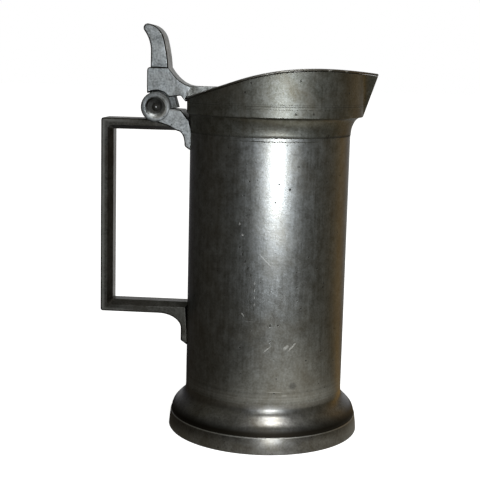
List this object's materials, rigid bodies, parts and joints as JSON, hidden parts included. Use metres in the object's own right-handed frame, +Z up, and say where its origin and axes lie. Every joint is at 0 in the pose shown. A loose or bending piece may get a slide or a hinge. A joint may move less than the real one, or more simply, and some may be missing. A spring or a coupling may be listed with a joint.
{
  "type": "pewter measuring jug with hinged lid",
  "caption": "Tall straight-sided pewter jug with a flared foot, a stepped collar, a pointed pouring beak, a square handle and a hinged lid opened by a thumbpiece.",
  "frame": {"origin": "on the axis of the drum, in the plane of the foot's underside", "axes": "+Z up along the drum's axis, +X towards the pouring beak, the handle and the hinge at -X"},
  "size_m": [0.1559, 0.1104, 0.2315],
  "materials": {
    "body_pewter": "worn dark grey pewter, turned and hand polished",
    "handle_pewter": "dark cast pewter with rubbed edges",
    "hinge_pewter": "light grey cast pewter, mottled and pitted",
    "pin_metal": "dulled metal pin with peened ends"
  },
  "bodies": {
    "vessel": {"drum": "body_pewter", "bottom_disc": "body_pewter", "foot_ring": "body_pewter", "collar_ring": "body_pewter", "mouth_wall": "body_pewter", "spout": "body_pewter", "handle": "handle_pewter", "hinge_bracket": "hinge_pewter", "hinge_pin": "pin_metal"},
    "lid": {"lid_plate": "body_pewter", "lid_strap": "hinge_pewter", "thumbpiece": "hinge_pewter"}
  },
  "joints": [
    {"name": "lid_hinge", "type": "hinge", "parent": "vessel", "child": "lid", "pos_m": [-0.0644, 0, 0.1852], "axis": [0, -1, 0], "range_deg": [0, 92]}
  ]
}
